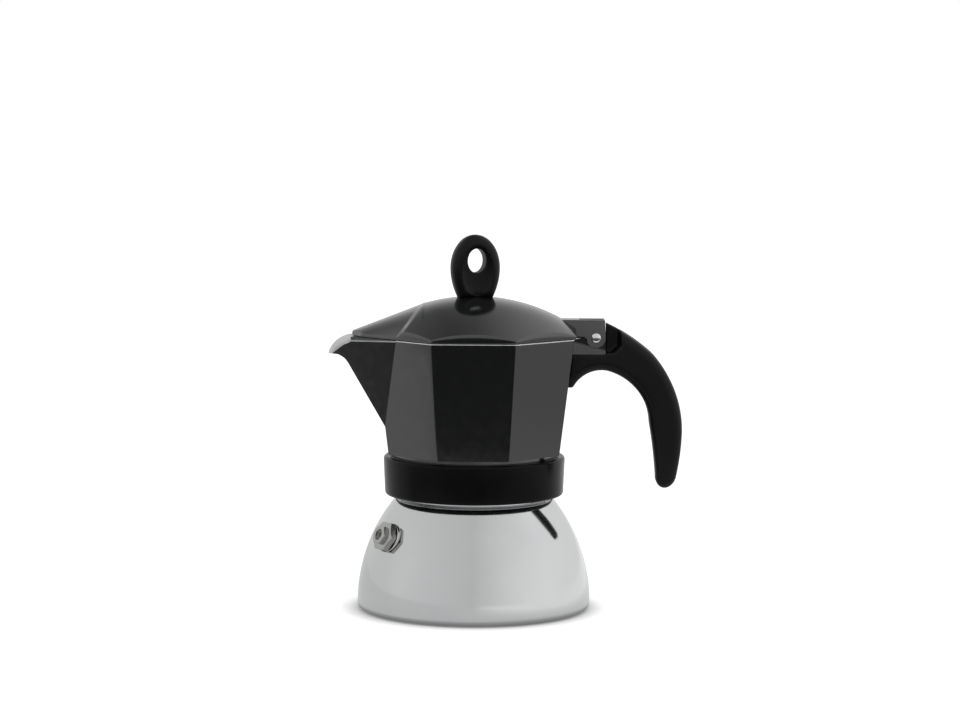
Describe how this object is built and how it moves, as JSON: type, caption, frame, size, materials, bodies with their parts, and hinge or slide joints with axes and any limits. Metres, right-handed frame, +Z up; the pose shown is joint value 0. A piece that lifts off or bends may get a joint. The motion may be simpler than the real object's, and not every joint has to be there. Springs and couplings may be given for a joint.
{
  "type": "stovetop coffee maker",
  "caption": "Stovetop coffee maker with a domed steel boiler, a faceted dark pouring jug with a spout, a hinged lid with a loop knob and a hanging black handle.",
  "frame": {"origin": "centre of the boiler's flat underside", "axes": "+Z up along the pot's axis, +X towards the handle, -X towards the spout, -Y the front as pictured"},
  "size_m": [0.1546, 0.102, 0.1641],
  "materials": {
    "polished_steel": "polished",
    "brushed_steel": "satin",
    "bright_steel": "polished",
    "spring_steel": "satin",
    "plated_brass": "satin",
    "plunger_brass": "satin",
    "bare_aluminium": "satin",
    "dark_coating": "gloss",
    "black_plastic": "satin",
    "seal_rubber": "matte"
  },
  "bodies": {
    "boiler": {"boiler_shell": "polished_steel", "induction_disc": "brushed_steel", "valve_body": "plated_brass", "valve_washer": "seal_rubber", "valve_nut": "plated_brass", "valve_cap": "plated_brass", "valve_spring": "spring_steel"},
    "valve_plunger": {"valve_plunger": "plunger_brass"},
    "funnel": {"funnel": "bare_aluminium", "funnel_sieve": "bare_aluminium"},
    "seal_pack": {"gasket": "seal_rubber", "filter_plate": "bare_aluminium"},
    "collector": {"collector": "dark_coating", "brew_column": "bare_aluminium", "collar_sleeve": "black_plastic", "handle": "black_plastic", "handle_screw": "spring_steel", "hinge_pin": "bright_steel"},
    "lid": {"lid": "dark_coating", "lid_knob": "black_plastic", "knob_screw": "spring_steel", "knob_washer": "spring_steel"}
  },
  "joints": [
    {"name": "collector_lift", "type": "slide", "parent": "boiler", "child": "seal_pack", "axis": [0, 0, 1], "range_m": [0, 0.0081]},
    {"name": "collector_turn", "type": "hinge", "parent": "seal_pack", "child": "collector", "pos_m": [0, 0, 0], "axis": [0, 0, 1], "range_deg": [0, 720]},
    {"name": "lid_hinge", "type": "hinge", "parent": "collector", "child": "lid", "pos_m": [0.0528, 0, 0.11955], "axis": [0, 1, 0], "range_deg": [0, 95]},
    {"name": "funnel_turn", "type": "hinge", "parent": "boiler", "child": "funnel", "pos_m": [0, 0, 0], "axis": [0, 0, 1], "continuous": true},
    {"name": "valve_lift", "type": "slide", "parent": "boiler", "child": "valve_plunger", "axis": [-0.7713, -0.5281, 0.3551], "range_m": [0, 0.001], "stiffness_N_per_m": 1500, "springref_m": -0.0009, "deforming": ["valve_spring"]}
  ],
  "couplings": [
    {"joint": "collector_lift", "follows": "collector_turn", "m_per_rad": 0.00063662}
  ]
}
